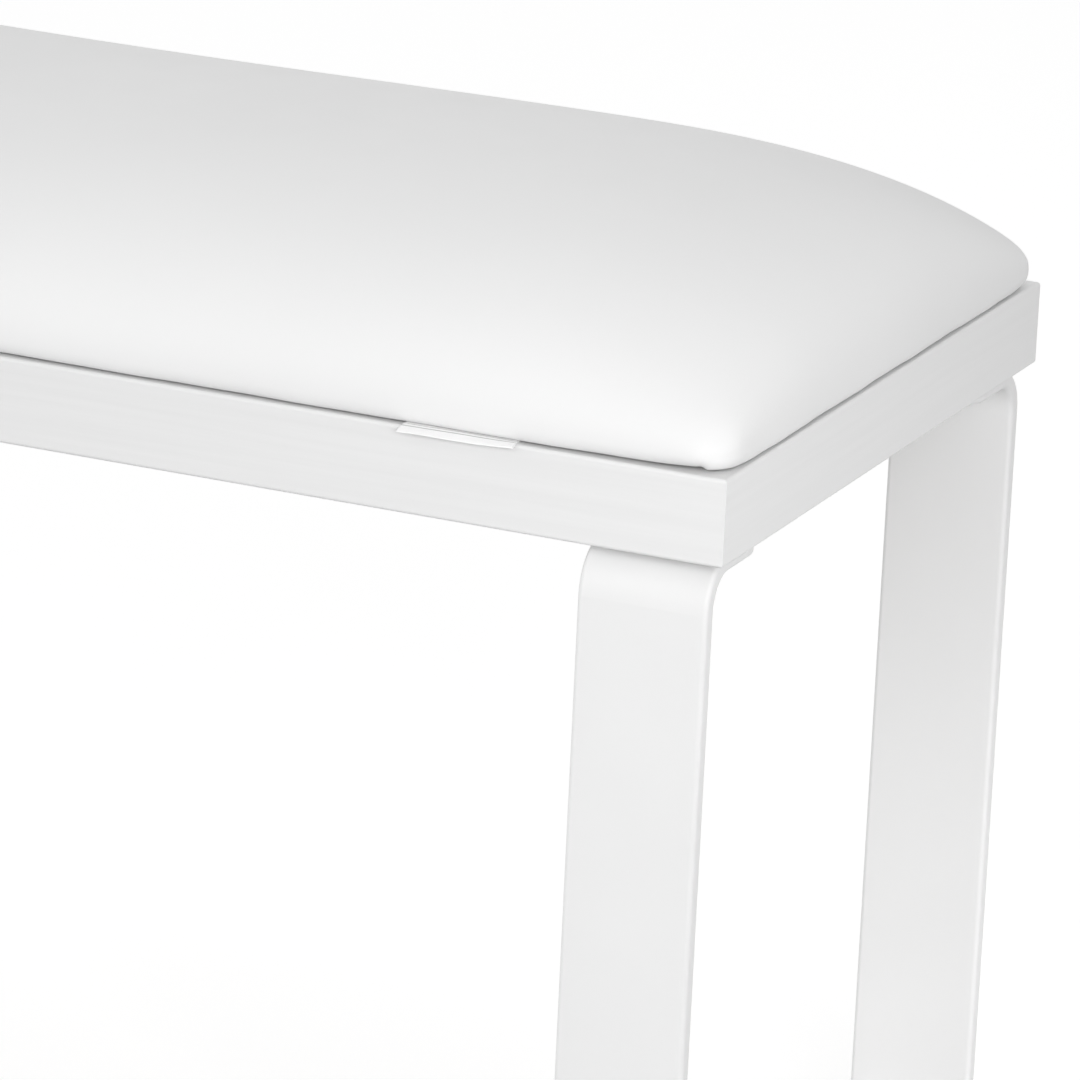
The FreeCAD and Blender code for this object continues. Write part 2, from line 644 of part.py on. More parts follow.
keep(group("tee_nuts", tee_nut, stand(seat_places, tee_nut_bottom)), "tee_nuts")


# ---------------------------------------------------------------- recompute, test and export

doc.recompute()
for obj in doc.Objects:
    if {"Invalid", "Error"} & set(obj.State):
        raise RuntimeError(f"{obj.Label} failed to build: {obj.State}")
os.makedirs("parts", exist_ok=True)
for obj in subparts:
    shape = obj.Shape
    if shape.isNull() or not shape.isValid() or not shape.Solids:
        raise RuntimeError(f"{obj.Label} has no valid solid")
    shape.exportStep(f"parts/{obj.Label}.step")
    box = shape.BoundBox
    print(f"{obj.Label:28s} {len(shape.Solids):3d} solids {shape.Volume / 1000:9.2f} cm3 "
          f"z {box.ZMin:.1f} to {box.ZMax:.1f}")
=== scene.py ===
"""A white padded piano bench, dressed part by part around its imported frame, in metres."""

import math

import bpy
import numpy as np
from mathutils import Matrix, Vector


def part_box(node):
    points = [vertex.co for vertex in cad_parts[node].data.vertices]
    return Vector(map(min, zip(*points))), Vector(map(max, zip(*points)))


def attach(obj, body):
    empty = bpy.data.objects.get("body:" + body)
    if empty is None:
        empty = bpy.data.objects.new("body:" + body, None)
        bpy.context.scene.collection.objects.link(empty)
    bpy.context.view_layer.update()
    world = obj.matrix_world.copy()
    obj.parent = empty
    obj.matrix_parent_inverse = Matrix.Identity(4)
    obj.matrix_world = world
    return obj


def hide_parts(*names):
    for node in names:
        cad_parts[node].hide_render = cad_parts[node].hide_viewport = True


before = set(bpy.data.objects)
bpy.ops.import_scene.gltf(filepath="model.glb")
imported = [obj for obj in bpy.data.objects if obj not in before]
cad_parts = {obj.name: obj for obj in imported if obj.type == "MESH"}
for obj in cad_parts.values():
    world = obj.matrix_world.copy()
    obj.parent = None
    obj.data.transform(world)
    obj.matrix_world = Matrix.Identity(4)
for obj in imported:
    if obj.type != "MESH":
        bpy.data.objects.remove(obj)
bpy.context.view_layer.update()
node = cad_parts

# --- Studio ---------------------------------------------------------------------------------
# The bench stands on a wide pale floor in plain soft light, seen through a long lens from above.
# Panels light it from in front, off its right-hand front corner and overhead, two small lamps
# fill that end, and the pale surround is weakest on the right.
lens_mm = 271.926
camera_place = (1.55745, -3.11687, 1.36488)
camera_turn_deg = (72.8267, -2.6053, 24.0010)

camera_data = bpy.data.cameras.new("studio_camera")
camera_data.lens = lens_mm
camera_data.sensor_width = 36.0
camera_data.clip_end = 200.0
camera = bpy.data.objects.new("studio_camera", camera_data)
camera.location = camera_place
camera.rotation_euler = [math.radians(a) for a in camera_turn_deg]
bpy.context.scene.collection.objects.link(camera)
bpy.context.scene.camera = camera
bpy.context.scene.view_settings.view_transform = "Standard"


def add_node(tree, kind, inputs, **settings):
    """Adds a shader node. inputs holds a number, colour or another node's output by socket."""
    made = tree.nodes.new(kind)
    for setting, value in settings.items():
        setattr(made, setting, value)
    for socket, value in inputs.items():
        if isinstance(value, bpy.types.NodeSocket):
            tree.links.new(value, made.inputs[socket])
        else:
            made.inputs[socket].default_value = value
    return made


def softbox(name, place, aim, size, watts):
    """A square area light at place that faces the point aim."""
    data = bpy.data.lights.new(name, "AREA")
    data.shape = "RECTANGLE"
    data.size, data.size_y = size
    data.energy = watts
    lamp = bpy.data.objects.new(name, data)
    facing = np.subtract(place, aim)
    across = math.hypot(facing[0], facing[1])
    lamp.location = place
    lamp.visible_camera = False
    lamp.rotation_euler = (math.atan2(across, facing[2]), 0, math.atan2(facing[0], -facing[1]))
    bpy.context.scene.collection.objects.link(lamp)
    return lamp


softbox("front_panel", (0.2, -3.2, 1.8), (0.1, 0, 0.35), (2.6, 1.2), 17.0)
softbox("front_end_panel", (2.0, -2.4, 1.3), (0.3, 0, 0.35), (1.2, 1.2), 32.0)
softbox("end_fill", (1.1, -0.35, 0.40), (0.38, -0.15, 0.38), (0.4, 0.4), 2.1)
softbox("overhead_panel", (0.2, 0.3, 2.8), (0, 0, 0.4), (2.4, 2.4), 6.2)
low_fill = softbox("low_end_fill", (1.3, -0.1, 0.05), (0.38, 0.17, 0.1), (0.3, 0.3), 0.09)
low_fill.data.spread = math.radians(26)

surround = bpy.data.worlds.new("surround")
surround.use_nodes = True
surround_tree = surround.node_tree
facing = add_node(surround_tree, "ShaderNodeTexCoord", {}).outputs["Generated"]
glow = 0.0
for direction, strength in (((0, -1, 0), 0.35), ((0, -0.707, 0.707), 0.33),
                            ((-1, 0, 0), 0.91), ((0, 1, 0), 0.90), ((1, 0, 0), 0.045)):
    share = add_node(surround_tree, "ShaderNodeVectorMath", {0: facing, 1: direction},
                     operation="DOT_PRODUCT").outputs["Value"]
    share = add_node(surround_tree, "ShaderNodeMath", {0: share, 1: 0.0},
                     operation="MAXIMUM").outputs[0]
    glow = add_node(surround_tree, "ShaderNodeMath", {0: share, 1: strength, 2: glow},
                    operation="MULTIPLY_ADD").outputs[0]
surround_tree.links.new(glow, surround_tree.nodes["Background"].inputs["Strength"])
surround_tree.nodes["Background"].inputs["Color"].default_value = (1, 1, 1, 1)
bpy.context.scene.world = surround


def stage_piece(name, mesh, tone, glow):
    """A floor or wall of the studio: matt, faintly mottled, with a glow that keeps it pale."""
    finish = bpy.data.materials.new(name)
    finish.use_nodes = True
    tree = finish.node_tree
    shader = tree.nodes["Principled BSDF"]
    for socket, value in (("Roughness", 0.9), ("Specular IOR Level", 0.1),
                          ("Emission Color", (1, 1, 1, 1)), ("Emission Strength", glow)):
        shader.inputs[socket].default_value = value
    mottle = add_node(tree, "ShaderNodeTexCoord", {}).outputs["Object"]
    mottle = add_node(tree, "ShaderNodeTexNoise", {"Vector": mottle, "Scale": 0.7}).outputs["Fac"]
    greys = add_node(tree, "ShaderNodeValToRGB", {"Fac": mottle})
    for stop, grey in zip(greys.color_ramp.elements, (tone, tone + 0.01)):
        stop.color = (grey, grey, grey, 1)
    tree.links.new(greys.outputs["Color"], shader.inputs["Base Color"])
    mesh.materials.append(finish)
    piece = bpy.data.objects.new(name, mesh)
    piece.visible_diffuse = piece.visible_shadow = False
    bpy.context.scene.collection.objects.link(piece)
    return piece


stage_reach = 30.0
floor_drop = 0.0002
floor_tone, floor_glow = 0.45, 0.66
wall_tone, wall_glow = 0.5, 1.0

floor_mesh = bpy.data.meshes.new("studio_floor")
floor_corners = np.array([(-1, -1, 0), (1, -1, 0), (1, 1, 0), (-1, 1, 0)]) * stage_reach
floor_mesh.from_pydata((floor_corners - (0, 0, floor_drop)).tolist(), [], [(0, 1, 2, 3)])
stage_piece("studio_floor", floor_mesh, floor_tone, floor_glow)

around, up = np.meshgrid(np.linspace(0, 2 * math.pi, 65),
                         np.linspace(-math.pi / 2, math.pi / 2, 33))
dome = stage_reach * np.stack([np.cos(around) * np.cos(up), np.sin(around) * np.cos(up),
                               np.sin(up)], -1)
dome_index = np.arange(around.size).reshape(around.shape)
dome_faces = np.stack([dome_index[:-1, :-1], dome_index[1:, :-1],
                       dome_index[1:, 1:], dome_index[:-1, 1:]], -1)
wall_mesh = bpy.data.meshes.new("studio_wall")
wall_mesh.from_pydata(dome.reshape(-1, 3).tolist(), [], dome_faces.reshape(-1, 4).tolist())
wall = stage_piece("studio_wall", wall_mesh, wall_tone, wall_glow)
wall.visible_glossy = wall.visible_transmission = False

# --- Leg frames -----------------------------------------------------------------------------
# Each end stands on one flat steel bar bent into a closed-bottom U, its top ends turned in
# under the apron. The bar is blasted and powder coated white, which leaves a fine pebbling.


def new_finish(name, sockets):
    """A material with one Principled shader. sockets are the constants set on that shader."""
    finish = bpy.data.materials.new(name)
    finish.use_nodes = True
    shader = finish.node_tree.nodes["Principled BSDF"]
    for socket, value in sockets.items():
        shader.inputs[socket].default_value = value
    return finish, finish.node_tree, shader


def grain(tree, scale, detail=2.0, stretch=(1, 1, 1), kind="ShaderNodeTexNoise", source="Object"):
    """A noise or cell pattern, scale cells to the metre, drawn out along the axes by stretch."""
    where = add_node(tree, "ShaderNodeTexCoord", {}).outputs[source]
    where = add_node(tree, "ShaderNodeMapping", {"Vector": where, "Scale": stretch}).outputs[0]
    cells = add_node(tree, kind, {"Vector": where, "Scale": scale})
    if kind == "ShaderNodeTexNoise":
        cells.inputs["Detail"].default_value = detail
        return cells.outputs["Fac"]
    return cells.outputs["Distance"]


def ramp(tree, factor, low, high, start=0.3, end=0.7):
    """Carries a pattern from grey or colour low to high between the values start and end."""
    made = add_node(tree, "ShaderNodeValToRGB", {"Fac": factor})
    for stop, place, tone in zip(made.color_ramp.elements, (start, end), (low, high)):
        stop.position = place
        stop.color = (*([tone] * 3 if isinstance(tone, float) else tone), 1)
    return made.outputs["Color"]


def relief(tree, shader, height, depth, strength=1.0, under=None):
    """Bumps the shader's surface by a height pattern, depth metres high, over another bump."""
    inputs = {"Height": height, "Distance": depth, "Strength": strength}
    if under is not None:
        inputs["Normal"] = under
    made = add_node(tree, "ShaderNodeBump", inputs)
    tree.links.new(made.outputs["Normal"], shader.inputs["Normal"])
    return made.outputs["Normal"]


def paint(tree, shader, colour, roughness):
    """Joins a colour pattern and a roughness pattern to the shader."""
    tree.links.new(colour, shader.inputs["Base Color"])
    tree.links.new(roughness, shader.inputs["Roughness"])


def dress(names, finish):
    """Gives frame nodes their finish."""
    for name in names:
        node[name].data.materials.clear()
        node[name].data.materials.append(finish)


powder_coat, tree, shader = new_finish("white_powder_coat", {"Specular IOR Level": 0.42})
paint(tree, shader, ramp(tree, grain(tree, 11), 0.782, 0.806),
      ramp(tree, grain(tree, 60), 0.42, 0.50))
pebbles = relief(tree, shader, grain(tree, 620, 1.0), 0.00006, 0.35)
relief(tree, shader, grain(tree, 90, 3.0), 0.00010, 0.25, under=pebbles)
dress(["left_leg_frame", "right_leg_frame"], powder_coat)

# --- Levelling glides -----------------------------------------------------------------------
# Under each corner a black nylon foot turns on a short zinc-plated stem with a hex socket, so
# that the bench can be levelled from above the runner.
nylon, tree, shader = new_finish("black_nylon", {"Specular IOR Level": 0.4})
paint(tree, shader, ramp(tree, grain(tree, 40), 0.018, 0.032),
      ramp(tree, grain(tree, 300), 0.5, 0.62))
relief(tree, shader, grain(tree, 1500), 0.00003, 0.6)
zinc, tree, shader = new_finish("zinc_plated_steel", {"Metallic": 1.0})
paint(tree, shader, ramp(tree, grain(tree, 260, 4.0), 0.52, 0.66),
      ramp(tree, grain(tree, 180), 0.28, 0.42))
relief(tree, shader, grain(tree, 900, 3.0), 0.00002, 0.5)
corners = [f"{side}_{hand}" for side in ("front", "rear") for hand in ("left", "right")]
dress([f"{corner}_glide_pad" for corner in corners], nylon)
dress([f"{corner}_glide_stem" for corner in corners], zinc)

# --- Apron ----------------------------------------------------------------------------------
# Four hardwood rails, dowelled and glued into a box at the corners, sanded over the joints and
# sprayed as one with white satin lacquer. The wood's grain still shows as very faint streaks.


def lacquer(name, stretch):
    """White lacquer over wood whose grain runs along the axis that stretch leaves longest."""
    finish, tree, shader = new_finish(name, {"Specular IOR Level": 0.45})
    streaks = grain(tree, 1.0, 4.0, stretch)
    paint(tree, shader, ramp(tree, streaks, 0.768, 0.792), ramp(tree, streaks, 0.34, 0.42))
    filled_pores = relief(tree, shader, streaks, 0.00005, 0.30)
    relief(tree, shader, grain(tree, 240, 2.0), 0.00004, 0.25, under=filled_pores)
    return finish


dress(["front_rail", "rear_rail"], lacquer("white_lacquer_long", (9, 330, 330)))
dress(["left_end_rail", "right_end_rail"], lacquer("white_lacquer_end", (330, 9, 330)))

# --- Corner blocks, battens and dowels ------------------------------------------------------
# Inside the box, unpainted pine blocks are glued into the corners and two battens cross from
# rail to rail. Fluted beech dowels hold the rails and the battens.


def timber(name, pale, dark, stretch):
    """Bare wood: rings drawn out along the grain, fine fibres, and dark flecks between them."""
    finish, tree, shader = new_finish(name, {"Specular IOR Level": 0.3})
    rings = grain(tree, 1.0, 3.0, stretch)
    fibres = grain(tree, 6.0, 2.0, stretch)
    colour = add_node(tree, "ShaderNodeMix", {"Factor": fibres, 6: ramp(tree, rings, pale, dark)},
                      data_type="RGBA", blend_type="MULTIPLY")
    tree.links.new(ramp(tree, fibres, 0.72, 1.0), colour.inputs[7])
    paint(tree, shader, colour.outputs[2], ramp(tree, fibres, 0.62, 0.78))
    relief(tree, shader, fibres, 0.00012, 0.5)
    return finish


pine_pale, pine_dark = (0.72, 0.53, 0.33), (0.50, 0.31, 0.15)
dress([f"{corner}_corner_block" for corner in corners],
      timber("pine_upright", pine_pale, pine_dark, (110, 110, 8)))
dress(["left_cross_batten", "right_cross_batten"],
      timber("pine_crosswise", pine_pale, pine_dark, (110, 8, 110)))
dress(["corner_dowels", "batten_dowels"],
      timber("beech", (0.66, 0.43, 0.25), (0.50, 0.29, 0.15), (14, 500, 500)))

# --- Fasteners ------------------------------------------------------------------------------
# Zinc-plated button-head bolts and washers hold the flanges to inserts in the rails and blocks,
# and the seat board's tee nuts to the battens.
dress(["flange_bolts", "flange_washers", "threaded_inserts",
       "seat_bolts", "seat_washers", "tee_nuts"], zinc)

# --- Seat board -----------------------------------------------------------------------------
# The pad is built on a board of birch plywood, with four breather holes. Its edge shows the
# veneers in turn, each pale face veneer over a darker crossband.
plywood, tree, shader = new_finish("birch_plywood", {"Specular IOR Level": 0.3})
veneer_pitch = 0.0013
height = add_node(tree, "ShaderNodeSeparateXYZ",
                  {0: add_node(tree, "ShaderNodeTexCoord", {}).outputs["Object"]}).outputs["Z"]
layer = add_node(tree, "ShaderNodeMath", {0: height, 1: 2 * math.pi / (2 * veneer_pitch)},
                 operation="MULTIPLY").outputs[0]
layer = add_node(tree, "ShaderNodeMath", {0: layer}, operation="SINE").outputs[0]
face_grain = grain(tree, 1.0, 4.0, (7, 160, 160))
face_veneer = ramp(tree, face_grain, (0.70, 0.52, 0.33), (0.58, 0.40, 0.23))
crossband = (0.40, 0.25, 0.13, 1)
veneers = add_node(tree, "ShaderNodeMix", {"Factor": ramp(tree, layer, 0.0, 1.0, 0.45, 0.55),
                                           6: face_veneer, 7: crossband}, data_type="RGBA")
paint(tree, shader, veneers.outputs[2], ramp(tree, face_grain, 0.6, 0.75))
relief(tree, shader, face_grain, 0.0001, 0.4)
dress(["seat_board"], plywood)

# --- Foam and wadding -----------------------------------------------------------------------
# A block of pale foam is cut to one long smooth crown and glued to the board, and a soft white
# wadding is laid over it so that no cut edge shows through the cover.
rail_low, rail_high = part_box("front_rail")
apron_top = rail_high.z
seat_half_length = rail_high.x
seat_half_width = -rail_low.y

pad_foot = apron_top + 0.0008
crown_rise = 0.0749
crown_across = (2.34, 1.91)
crown_end_reach = 0.1707
crown_end = (2.56, 2.73)
sat_in = 0.0029
sat_in_place, sat_in_reach = -0.05, 0.27
trial_steps, corner_reach = 6000, 0.020


def crown_along(x, half_length):
    """The crown's share of its height lengthwise: full in the middle, and within crown_end_reach
    of the end it falls on a superellipse, 1 less (1 - d) to one power, to the root of another."""
    power, root = crown_end
    d = np.clip((half_length - np.abs(x)) / crown_end_reach, 0, 1)
    return (1 - (1 - d) ** power) ** (1 / root)


def crown_over(y, half_width):
    """The crown's share of its height crosswise: a superellipse from side to side."""
    power, root = crown_across
    return (1 - np.minimum(np.abs(y) / half_width, 1) ** power) ** (1 / root)


def crown_height(x, y, half_length, half_width, side, rise):
    """Height above the pad's foot: the side, then the rise times both shares. The middle is a
    little lower than the ends, where people sit, on half a cosine wave."""
    from_seat = np.clip(np.abs(x - sat_in_place) / sat_in_reach, 0, 1)
    worn = sat_in * (1 - np.cos(math.pi * from_seat)) / 2
    share = crown_along(x, half_length) * crown_over(y, half_width)
    return side + (rise - side + worn) * share


def even_steps(share, half, rise, pitch, corner_pitch):
    """Places from -half to half, a pitch apart along the curved section and closer at the ends:
    the section is stepped finely, and its length over the local pitch is shared out evenly."""
    dense = -half * np.cos(np.linspace(0, math.pi, trial_steps + 1))
    step = np.hypot(np.diff(dense), np.diff(rise * share(dense, half)))
    middle = half - np.abs(dense[1:] + dense[:-1]) / 2
    near_end = np.exp(-((middle / corner_reach) ** 2))
    closeness = 1 / pitch + (1 / corner_pitch - 1 / pitch) * near_end
    count = np.concatenate([[0], np.cumsum(step * closeness)])
    return np.interp(np.linspace(0, count[-1], 2 * round(count[-1] / 2) + 1), count, dense)


def rounded(x, y, half_length, half_width, corner):
    """Draws the corners of a rectangle in to arcs: a point that lies a and b arc radii past the
    arc's centre goes to a * sqrt(1 - b*b/2) and b * sqrt(1 - a*a/2)."""
    a = np.maximum(np.abs(x) - (half_length - corner), 0) / corner
    b = np.maximum(np.abs(y) - (half_width - corner), 0) / corner
    drawn_x = corner * a * (1 - np.sqrt(1 - b * b / 2))
    drawn_y = corner * b * (1 - np.sqrt(1 - a * a / 2))
    return np.sign(x) * (np.abs(x) - drawn_x), np.sign(y) * (np.abs(y) - drawn_y)


def edge_loop(grid):
    """The points round a grid's edge, from its first corner and back, anticlockwise from above."""
    return np.concatenate([grid[0, :-1], grid[:-1, -1], grid[-1, :0:-1], grid[:0:-1, 0]])


def skin_mesh(name, top, rings, pole=None):
    """A mesh of the grid top and of the rings that carry on from its edge, one below another,
    closed by a fan to pole where one is given."""
    index = np.arange(top.shape[0] * top.shape[1]).reshape(top.shape[:2])
    quads = np.stack([index[:-1, :-1], index[:-1, 1:], index[1:, 1:], index[1:, :-1]], -1)
    quads = [quads.reshape(-1, 4)]
    upper = edge_loop(index)
    points = [top.reshape(-1, 3)]
    for number, ring in enumerate(rings):
        lower = index.size + number * len(ring) + np.arange(len(ring))
        quads.append(np.stack([lower, np.roll(lower, -1), np.roll(upper, -1), upper], -1))
        points.append(ring)
        upper = lower
    faces = np.concatenate(quads).tolist()
    if pole is not None:
        points.append(np.array([pole]))
        last = index.size + sum(len(ring) for ring in rings)
        faces += np.stack([np.roll(upper, -1), upper, np.full_like(upper, last)], -1).tolist()
    mesh = bpy.data.meshes.new(name)
    mesh.from_pydata(np.concatenate(points).tolist(), [], faces)
    mesh.polygons.foreach_set("use_smooth", np.ones(len(mesh.polygons), bool))
    mesh.update()
    return mesh


def pad_top(half_length, half_width, corner, base, side, rise, pitch, corner_pitch):
    """The crowned top of a pad as a grid, with its outline and the outline's outward normals."""
    xs = even_steps(crown_along, half_length, rise, pitch, corner_pitch)
    ys = even_steps(crown_over, half_width, rise, pitch, corner_pitch)
    flat_x, flat_y = np.meshgrid(xs, ys)
    x, y = rounded(flat_x, flat_y, half_length, half_width, corner)
    z = base + crown_height(flat_x, flat_y, half_length, half_width, side, rise)
    top = np.stack([x, y, z], -1)
    outline = edge_loop(top)
    past = np.maximum(np.abs(outline[:, :2]) - (half_length - corner, half_width - corner), 0)
    outward = np.sign(outline[:, :2]) * past / np.hypot(*past.T)[:, None]
    return top, outline, outward


foam_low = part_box("seat_foam")[0]
foam_inset, foam_drop = 0.0120, 0.0080
wadding_inset, wadding_drop, wadding_thickness = 0.0080, 0.0042, 0.0024
pad_pitch, pad_corner_pitch, pad_corner = 0.014, 0.006, 0.012


def pad_layer(name, inset, drop, closed):
    """A layer of the padding: the cover's crown, inset all round, drop lower on top and cut off
    level at the board, closed below where it is a block."""
    rise = pad_foot + crown_rise - drop - foam_low.z
    top = pad_top(seat_half_length - inset, seat_half_width - inset, pad_corner, foam_low.z, 0.0,
                  rise, pad_pitch, pad_corner_pitch)[0]
    mesh = skin_mesh(name, top, [], (0, 0, foam_low.z) if closed else None)
    piece = bpy.data.objects.new(name, mesh)
    bpy.context.scene.collection.objects.link(piece)
    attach(piece, "bench")
    return piece


seat_foam = pad_layer("seat_foam_block", foam_inset, foam_drop, True)
foam, tree, shader = new_finish("pale_foam", {"Specular IOR Level": 0.2})
bubbles = grain(tree, 900, kind="ShaderNodeTexVoronoi")
paint(tree, shader, ramp(tree, bubbles, (0.60, 0.52, 0.33), (0.80, 0.75, 0.56), 0.05, 0.5),
      ramp(tree, grain(tree, 80), 0.85, 0.95))
relief(tree, shader, bubbles, 0.0004, 0.8)
seat_foam.data.materials.append(foam)
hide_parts("seat_foam")

seat_wadding = pad_layer("seat_wadding_layer", wadding_inset, wadding_drop, False)
wadding, tree, shader = new_finish("white_wadding",
                                   {"Specular IOR Level": 0.1, "Sheen Weight": 0.3})
fibres = grain(tree, 160, 6.0, (1, 3, 1))
paint(tree, shader, ramp(tree, fibres, 0.70, 0.86), ramp(tree, grain(tree, 50), 0.88, 0.96))
relief(tree, shader, fibres, 0.0006, 0.8)
seat_wadding.data.materials.append(wadding)
loft = seat_wadding.modifiers.new("loft", "SOLIDIFY")
loft.thickness = wadding_thickness
loft.offset = -1.0
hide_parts("seat_wadding")

# --- Seat cover -----------------------------------------------------------------------------
# White coated fabric is pulled over the padding, folded once at each corner, turned under the
# board and stapled, so that the pad tucks in just above the apron.
cover_thickness = 0.0012
cover_corner = 0.0179
cover_side = 0.0067
cover_pitch, cover_corner_pitch = 0.0075, 0.0019
side_tuck, end_tuck, corner_tuck, corner_spread = 0.0045, 0.0032, 0.0058, 0.022
tuck_waves = ((0.00025, 0.0062, 0.0), (0.00035, 0.0147, 1.0))
pleat_from_end, pleat_width, pleat_depth = 0.0105, 0.0021, 0.0013
pleat_lift, lift_fade = 0.0009, 0.040
pleat_lap, lap_drop, lap_fade = 0.0010, 0.0002, 0.045
foot_rings, hem_rings, hem_drop_power = 8, 5, 5
hem_half_length, hem_half_width, hem_corner = 0.349, 0.149, 0.006
hem_height = apron_top + 0.0006


def beyond_fold(from_end):
    """A logistic step in the distance from the pad's end, 0 before the fold and 1 past it."""
    return 1 / (1 + np.exp((from_end - pleat_from_end) / (pleat_width / 4)))


def tuck_depth(outline, outward):
    """How far the pad's foot is drawn in: less at the ends than along the sides, more in the
    corners, and a little uneven. At each corner the cover is folded on the long side: just before
    the fold it is drawn in further, past it the lap stands out and fades along the end."""
    from_end = seat_half_length - np.abs(outline[:, 0])
    from_side = seat_half_width - np.abs(outline[:, 1])
    depth = side_tuck * outward[:, 1] ** 2 + end_tuck * outward[:, 0] ** 2
    depth += corner_tuck * np.exp(-(np.hypot(from_end, from_side) / corner_spread) ** 2)
    before_fold = np.exp(-(((from_end - pleat_from_end - pleat_width) / pleat_width) ** 2))
    past_fold = beyond_fold(from_end)
    depth += pleat_depth * before_fold * outward[:, 1] ** 2
    depth -= pleat_lap * past_fold * np.exp(-((from_side / lap_fade) ** 2))
    run = outline[:, 0] + 1.3 * outline[:, 1]
    for height, wavelength, start in tuck_waves:
        depth = depth + height * np.sin(run / wavelength + start)
    return depth


def foot_lift(outline, outward):
    """How far the foot stands above its usual height: it climbs along each long side towards the
    fold as exp(-distance), and drops back sharply past it, where the lap hangs a little lower."""
    from_end = seat_half_length - np.abs(outline[:, 0])
    from_side = seat_half_width - np.abs(outline[:, 1])
    past_fold = beyond_fold(from_end)
    climb = np.exp(-np.maximum(from_end - pleat_from_end, 0) / lift_fade) * outward[:, 1] ** 2
    lap = past_fold * np.exp(-((from_side / lap_fade) ** 2))
    return pleat_lift * climb * (1 - past_fold) - lap_drop * lap


def tucked_rings(outline, outward, base, side, depth, lift, steps):
    """Rings that carry the outline down and in on a quarter ellipse, side high and depth wide,
    with the lowest ring raised by lift."""
    angle = np.linspace(0, math.pi / 2, steps + 1)[1:, None]
    inset = depth * (1 - np.cos(angle))
    low = base + side * (1 - np.sin(angle)) + lift * np.sin(angle)
    place = outline[None, :, :2] - outward * inset[..., None]
    return np.concatenate([place, low[..., None]], -1)


cover_top, outline, outward = pad_top(seat_half_length, seat_half_width, cover_corner, pad_foot,
                                      cover_side, crown_rise, cover_pitch, cover_corner_pitch)
cover_foot = tucked_rings(outline, outward, pad_foot, cover_side, tuck_depth(outline, outward),
                          foot_lift(outline, outward), foot_rings)
hem_x, hem_y = rounded(outline[:, 0] * hem_half_length / seat_half_length,
                       outline[:, 1] * hem_half_width / seat_half_width,
                       hem_half_length, hem_half_width, hem_corner)
hem_edge = np.stack([hem_x, hem_y, np.full_like(hem_x, hem_height)], -1)
turned = np.linspace(0, 1, hem_rings + 1)[1:, None, None]
cover_hem = cover_foot[-1] * (1 - turned) + hem_edge * turned
foot_above_hem = cover_foot[-1][:, 2] - hem_height
cover_hem[..., 2] = hem_height + foot_above_hem * (1 - turned[..., 0]) ** hem_drop_power
cover_mesh = skin_mesh("seat_cover_vinyl", cover_top, [*cover_foot, *cover_hem])
seat_cover = bpy.data.objects.new("seat_cover_vinyl", cover_mesh)
bpy.context.scene.collection.objects.link(seat_cover)


def points_of(mesh):
    """A mesh's points, one row each."""
    flat = np.empty(len(mesh.vertices) * 3, np.float32)
    mesh.vertices.foreach_get("co", flat)
    return flat.reshape(-1, 3).astype(float)


def normals_of(mesh):
    """The outward normal at each point of a mesh."""
    flat = np.empty(len(mesh.vertices) * 3, np.float32)
    mesh.vertices.foreach_get("normal", flat)
    return flat.reshape(-1, 3).astype(float)


def move_points(mesh, points):
    """Puts a mesh's points in new places."""
    mesh.vertices.foreach_set("co", points.astype(np.float32).ravel())
    mesh.update()


blow_pressure, cloth_stiffness, cloth_bending, blow_steps = 24.0, 18.0, 2.0, 20
padding_hold, hold_levels = 0.3, 20
blow_inset, blow_cap = 0.0006, 0.0012


def swell(piece, held, inset, cap):
    """Blows the piece out as cloth over springy padding. It starts smaller by inset, held (0 to 1)
    is how firmly each point is kept in place, and no point moves more than about cap."""
    free = (1 - held) / (1 - held.min())
    start = points_of(piece.data) - normals_of(piece.data) * (inset * free)[:, None]
    move_points(piece.data, start)
    pinned = piece.vertex_groups.new(name="padding")
    for weight in np.unique(held):
        pinned.add(np.flatnonzero(held == weight).tolist(), float(weight), "REPLACE")
    cloth = piece.modifiers.new("cloth", "CLOTH")
    cloth.settings.vertex_group_mass = "padding"
    cloth.settings.use_pressure = True
    cloth.settings.uniform_pressure_force = blow_pressure
    cloth.settings.tension_stiffness = cloth_stiffness
    cloth.settings.compression_stiffness = cloth_stiffness
    cloth.settings.bending_stiffness = cloth_bending
    cloth.settings.effector_weights.gravity = 0.0
    for step in range(1, blow_steps + 1):
        bpy.context.scene.frame_set(step)
    blown = points_of(piece.evaluated_get(bpy.context.evaluated_depsgraph_get()).data)
    bpy.context.scene.frame_set(1)
    piece.modifiers.remove(cloth)
    piece.vertex_groups.remove(pinned)
    moved = blown - start
    length = np.linalg.norm(moved, axis=1, keepdims=True)
    move_points(piece.data, start + moved * cap * np.tanh(length / cap) / np.maximum(length, 1e-9))


def refine(piece):
    """Divides each face of the piece in four and keeps the result."""
    finer = piece.modifiers.new("finer", "SUBSURF")
    finer.levels = finer.render_levels = 1
    divided = piece.evaluated_get(bpy.context.evaluated_depsgraph_get())
    made = bpy.data.meshes.new_from_object(divided)
    piece.modifiers.remove(finer)
    piece.data = made


stapled = 1 - np.clip((points_of(cover_mesh)[:, 2] - pad_foot) / cover_side, 0, 1)
firmness = padding_hold + (1 - padding_hold) * stapled
swell(seat_cover, np.round(firmness * hold_levels) / hold_levels, blow_inset, blow_cap)
refine(seat_cover)

